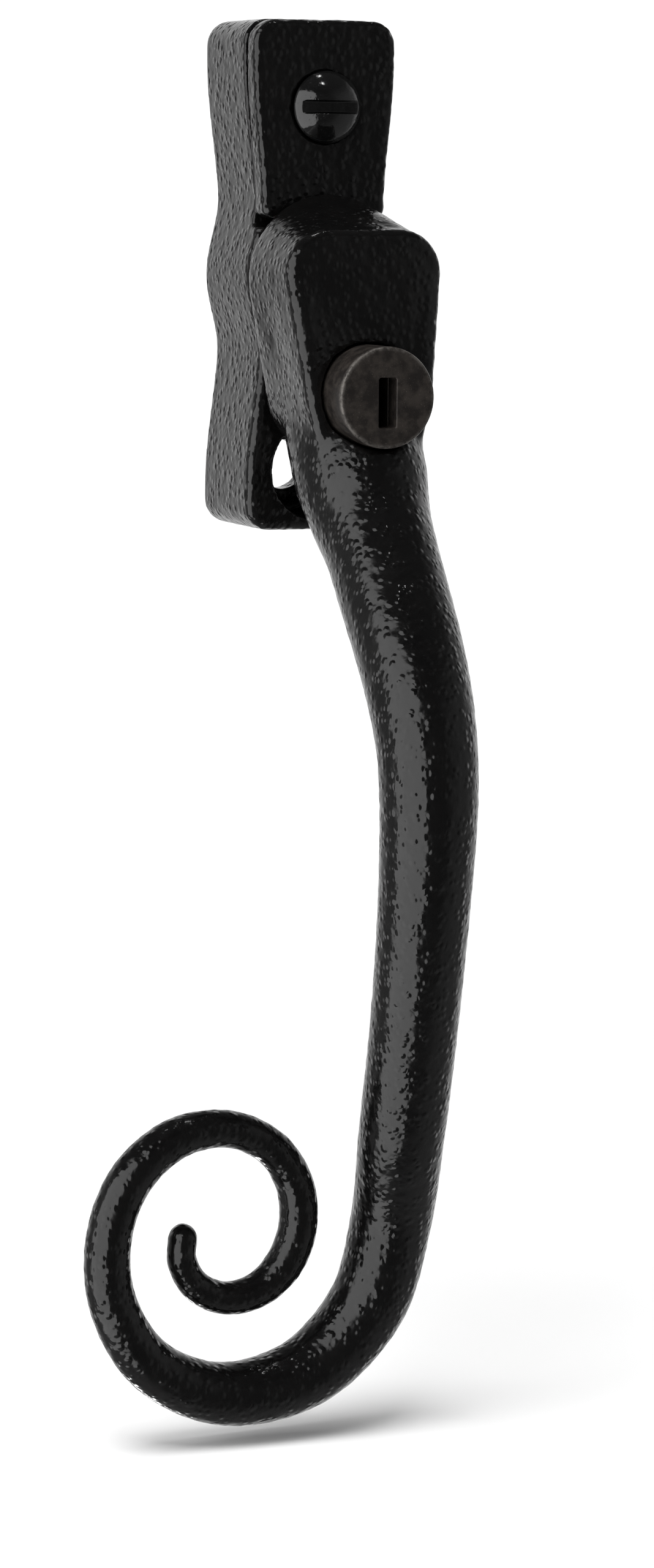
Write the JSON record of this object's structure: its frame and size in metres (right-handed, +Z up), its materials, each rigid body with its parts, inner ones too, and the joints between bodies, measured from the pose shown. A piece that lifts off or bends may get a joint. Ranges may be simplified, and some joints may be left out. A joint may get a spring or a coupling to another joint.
{
  "type": "locking window handle",
  "caption": "Casement window handle with a scrolled, tapering lever, a waisted two-layer base plate, a square spindle and a keyed push lock in the lever",
  "frame": {"origin": "On the spindle axis, in the plane of the window sash that the back of the base plate lies against.", "axes": "+Z up along the hanging lever, +Y back into the sash along the spindle, the front faces -Y and the scroll curls towards -X."},
  "size_m": [0.0475, 0.0681, 0.1633],
  "materials": {
    "black_coat": "hammered gloss black powder coat",
    "black_screw": "smooth gloss black",
    "gunmetal": "satin gunmetal, worn bright at the rim",
    "zinc_steel": "zinc plated",
    "spring_steel": "oiled spring steel",
    "nylon": "natural nylon"
  },
  "bodies": {
    "base": {"base_plate": "black_coat", "cover_plate": "black_coat", "upper_fixing_screw": "black_screw", "hub_bush": "nylon", "thrust_washer": "nylon", "index_spring_left": "spring_steel", "index_spring_right": "spring_steel", "rear_cover": "zinc_steel", "upper_rivet": "zinc_steel", "lower_rivet": "zinc_steel"},
    "lever": {"lever": "black_coat", "spindle": "zinc_steel", "spindle_grub_screw": "spring_steel", "index_cam": "zinc_steel", "wave_washer": "spring_steel", "retaining_clip": "spring_steel", "lock_retaining_pin": "spring_steel", "lock_spring": "spring_steel"},
    "plunger": {"lock_plunger": "gunmetal", "lock_bolt": "zinc_steel"},
    "core": {"lock_core": "gunmetal"}
  },
  "joints": [
    {"name": "lever_turn", "type": "hinge", "parent": "base", "child": "lever", "pos_m": [0, 0, 0], "axis": [0, 1, 0], "range_deg": [0, 90], "deforming": ["index_spring_left", "index_spring_right"]},
    {"name": "lock_push", "type": "slide", "parent": "lever", "child": "plunger", "axis": [0, 1, 0], "range_m": [0, 0.004], "stiffness_N_per_m": 300, "springref_m": -0.0015, "deforming": ["lock_spring"]},
    {"name": "key_turn", "type": "hinge", "parent": "plunger", "child": "core", "pos_m": [0, -0.03, -0.0118], "axis": [0, 1, 0], "range_deg": [0, 90]}
  ]
}
